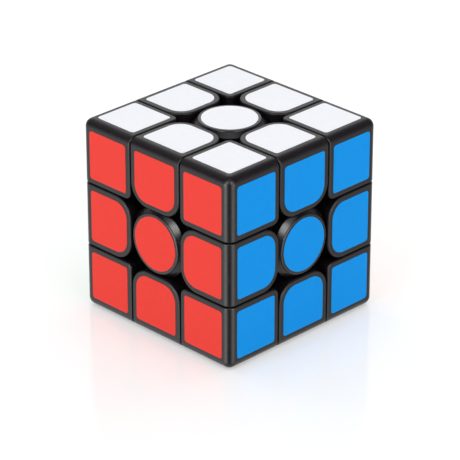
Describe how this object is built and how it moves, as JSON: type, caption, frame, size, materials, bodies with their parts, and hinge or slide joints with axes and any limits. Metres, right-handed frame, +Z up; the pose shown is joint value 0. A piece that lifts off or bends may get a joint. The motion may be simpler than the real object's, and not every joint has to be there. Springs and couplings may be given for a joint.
{
  "type": "twisty puzzle cube",
  "caption": "Cube-shaped twisty puzzle with turning face layers, round-topped centres, rounded black cubies and flat coloured stickers.",
  "frame": {"origin": "middle of the core, where the six turning axes cross, which is the middle of the cube", "axes": "+Z up, out of the white face; -Y forwards, out of the red face; +X to the right, out of the blue face"},
  "size_m": [0.056, 0.056, 0.056],
  "materials": {
    "black_plastic": "satin",
    "inner_plastic": "matte",
    "screw_steel": "satin",
    "spring_steel": "polished",
    "sticker_white": "satin",
    "sticker_red": "satin",
    "sticker_blue": "satin",
    "sticker_orange": "satin",
    "sticker_green": "satin",
    "sticker_yellow": "satin"
  },
  "bodies": {
    "core": {"core": "inner_plastic", "screw_up": "screw_steel", "washer_up": "screw_steel", "spring_up": "spring_steel", "screw_down": "screw_steel", "washer_down": "screw_steel", "spring_down": "spring_steel", "screw_front": "screw_steel", "washer_front": "screw_steel", "spring_front": "spring_steel", "screw_back": "screw_steel", "washer_back": "screw_steel", "spring_back": "spring_steel", "screw_right": "screw_steel", "washer_right": "screw_steel", "spring_right": "spring_steel", "screw_left": "screw_steel", "washer_left": "screw_steel", "spring_left": "spring_steel"},
    "center_up": {"center_housing_up": "black_plastic", "center_cap_up": "black_plastic"},
    "center_down": {"center_housing_down": "black_plastic", "center_cap_down": "black_plastic"},
    "center_front": {"center_housing_front": "black_plastic", "center_cap_front": "black_plastic"},
    "center_back": {"center_housing_back": "black_plastic", "center_cap_back": "black_plastic"},
    "center_right": {"center_housing_right": "black_plastic", "center_cap_right": "black_plastic"},
    "center_left": {"center_housing_left": "black_plastic", "center_cap_left": "black_plastic"},
    "edge_up_front": {"edge_up_front": "black_plastic"},
    "edge_up_back": {"edge_up_back": "black_plastic"},
    "edge_up_right": {"edge_up_right": "black_plastic"},
    "edge_up_left": {"edge_up_left": "black_plastic"},
    "edge_down_front": {"edge_down_front": "black_plastic"},
    "edge_down_back": {"edge_down_back": "black_plastic"},
    "edge_down_right": {"edge_down_right": "black_plastic"},
    "edge_down_left": {"edge_down_left": "black_plastic"},
    "edge_front_right": {"edge_front_right": "black_plastic"},
    "edge_front_left": {"edge_front_left": "black_plastic"},
    "edge_back_right": {"edge_back_right": "black_plastic"},
    "edge_back_left": {"edge_back_left": "black_plastic"},
    "corner_up_front_right": {"corner_shell_up_front_right": "black_plastic", "corner_foot_up_front_right": "inner_plastic"},
    "corner_up_front_left": {"corner_shell_up_front_left": "black_plastic", "corner_foot_up_front_left": "inner_plastic"},
    "corner_up_back_right": {"corner_shell_up_back_right": "black_plastic", "corner_foot_up_back_right": "inner_plastic"},
    "corner_up_back_left": {"corner_shell_up_back_left": "black_plastic", "corner_foot_up_back_left": "inner_plastic"},
    "corner_down_front_right": {"corner_shell_down_front_right": "black_plastic", "corner_foot_down_front_right": "inner_plastic"},
    "corner_down_front_left": {"corner_shell_down_front_left": "black_plastic", "corner_foot_down_front_left": "inner_plastic"},
    "corner_down_back_right": {"corner_shell_down_back_right": "black_plastic", "corner_foot_down_back_right": "inner_plastic"},
    "corner_down_back_left": {"corner_shell_down_back_left": "black_plastic", "corner_foot_down_back_left": "inner_plastic"}
  },
  "joints": [
    {"name": "up_turn", "type": "hinge", "parent": "core", "child": "center_up", "pos_m": [0, 0, 0], "axis": [0, 0, 1], "continuous": true},
    {"name": "down_turn", "type": "hinge", "parent": "core", "child": "center_down", "pos_m": [0, 0, 0], "axis": [0, 0, -1], "continuous": true},
    {"name": "front_turn", "type": "hinge", "parent": "core", "child": "center_front", "pos_m": [0, 0, 0], "axis": [0, -1, 0], "continuous": true},
    {"name": "back_turn", "type": "hinge", "parent": "core", "child": "center_back", "pos_m": [0, 0, 0], "axis": [0, 1, 0], "continuous": true},
    {"name": "right_turn", "type": "hinge", "parent": "core", "child": "center_right", "pos_m": [0, 0, 0], "axis": [1, 0, 0], "continuous": true},
    {"name": "left_turn", "type": "hinge", "parent": "core", "child": "center_left", "pos_m": [0, 0, 0], "axis": [-1, 0, 0], "continuous": true},
    {"name": "edge_up_front_turn", "type": "hinge", "parent": "center_up", "child": "edge_up_front", "pos_m": [0, 0, 0], "axis": [0, -1, 0], "continuous": true},
    {"name": "edge_up_back_turn", "type": "hinge", "parent": "center_up", "child": "edge_up_back", "pos_m": [0, 0, 0], "axis": [0, 1, 0], "continuous": true},
    {"name": "edge_up_right_turn", "type": "hinge", "parent": "center_right", "child": "edge_up_right", "pos_m": [0, 0, 0], "axis": [0, 0, 1], "continuous": true},
    {"name": "edge_up_left_turn", "type": "hinge", "parent": "center_left", "child": "edge_up_left", "pos_m": [0, 0, 0], "axis": [0, 0, 1], "continuous": true},
    {"name": "edge_down_front_turn", "type": "hinge", "parent": "center_down", "child": "edge_down_front", "pos_m": [0, 0, 0], "axis": [0, -1, 0], "continuous": true},
    {"name": "edge_down_back_turn", "type": "hinge", "parent": "center_down", "child": "edge_down_back", "pos_m": [0, 0, 0], "axis": [0, 1, 0], "continuous": true},
    {"name": "edge_down_right_turn", "type": "hinge", "parent": "center_right", "child": "edge_down_right", "pos_m": [0, 0, 0], "axis": [0, 0, -1], "continuous": true},
    {"name": "edge_down_left_turn", "type": "hinge", "parent": "center_left", "child": "edge_down_left", "pos_m": [0, 0, 0], "axis": [0, 0, -1], "continuous": true},
    {"name": "edge_front_right_turn", "type": "hinge", "parent": "center_front", "child": "edge_front_right", "pos_m": [0, 0, 0], "axis": [1, 0, 0], "continuous": true},
    {"name": "edge_front_left_turn", "type": "hinge", "parent": "center_front", "child": "edge_front_left", "pos_m": [0, 0, 0], "axis": [-1, 0, 0], "continuous": true},
    {"name": "edge_back_right_turn", "type": "hinge", "parent": "center_back", "child": "edge_back_right", "pos_m": [0, 0, 0], "axis": [1, 0, 0], "continuous": true},
    {"name": "edge_back_left_turn", "type": "hinge", "parent": "center_back", "child": "edge_back_left", "pos_m": [0, 0, 0], "axis": [-1, 0, 0], "continuous": true},
    {"name": "corner_up_front_right_turn", "type": "hinge", "parent": "edge_front_right", "child": "corner_up_front_right", "pos_m": [0, 0, 0], "axis": [0, 0, 1], "continuous": true},
    {"name": "corner_up_front_left_turn", "type": "hinge", "parent": "edge_front_left", "child": "corner_up_front_left", "pos_m": [0, 0, 0], "axis": [0, 0, 1], "continuous": true},
    {"name": "corner_up_back_right_turn", "type": "hinge", "parent": "edge_back_right", "child": "corner_up_back_right", "pos_m": [0, 0, 0], "axis": [0, 0, 1], "continuous": true},
    {"name": "corner_up_back_left_turn", "type": "hinge", "parent": "edge_back_left", "child": "corner_up_back_left", "pos_m": [0, 0, 0], "axis": [0, 0, 1], "continuous": true},
    {"name": "corner_down_front_right_turn", "type": "hinge", "parent": "edge_front_right", "child": "corner_down_front_right", "pos_m": [0, 0, 0], "axis": [0, 0, -1], "continuous": true},
    {"name": "corner_down_front_left_turn", "type": "hinge", "parent": "edge_front_left", "child": "corner_down_front_left", "pos_m": [0, 0, 0], "axis": [0, 0, -1], "continuous": true},
    {"name": "corner_down_back_right_turn", "type": "hinge", "parent": "edge_back_right", "child": "corner_down_back_right", "pos_m": [0, 0, 0], "axis": [0, 0, -1], "continuous": true},
    {"name": "corner_down_back_left_turn", "type": "hinge", "parent": "edge_back_left", "child": "corner_down_back_left", "pos_m": [0, 0, 0], "axis": [0, 0, -1], "continuous": true}
  ],
  "couplings": [
    {"joint": "edge_up_front_turn", "follows": "front_turn", "ratio": 1},
    {"joint": "edge_up_back_turn", "follows": "back_turn", "ratio": 1},
    {"joint": "edge_up_right_turn", "follows": "up_turn", "ratio": 1},
    {"joint": "edge_up_left_turn", "follows": "up_turn", "ratio": 1},
    {"joint": "edge_down_front_turn", "follows": "front_turn", "ratio": 1},
    {"joint": "edge_down_back_turn", "follows": "back_turn", "ratio": 1},
    {"joint": "edge_down_right_turn", "follows": "down_turn", "ratio": 1},
    {"joint": "edge_down_left_turn", "follows": "down_turn", "ratio": 1},
    {"joint": "edge_front_right_turn", "follows": "right_turn", "ratio": 1},
    {"joint": "edge_front_left_turn", "follows": "left_turn", "ratio": 1},
    {"joint": "edge_back_right_turn", "follows": "right_turn", "ratio": 1},
    {"joint": "edge_back_left_turn", "follows": "left_turn", "ratio": 1},
    {"joint": "corner_up_front_right_turn", "follows": "up_turn", "ratio": 1},
    {"joint": "corner_up_front_left_turn", "follows": "up_turn", "ratio": 1},
    {"joint": "corner_up_back_right_turn", "follows": "up_turn", "ratio": 1},
    {"joint": "corner_up_back_left_turn", "follows": "up_turn", "ratio": 1},
    {"joint": "corner_down_front_right_turn", "follows": "down_turn", "ratio": 1},
    {"joint": "corner_down_front_left_turn", "follows": "down_turn", "ratio": 1},
    {"joint": "corner_down_back_right_turn", "follows": "down_turn", "ratio": 1},
    {"joint": "corner_down_back_left_turn", "follows": "down_turn", "ratio": 1}
  ]
}
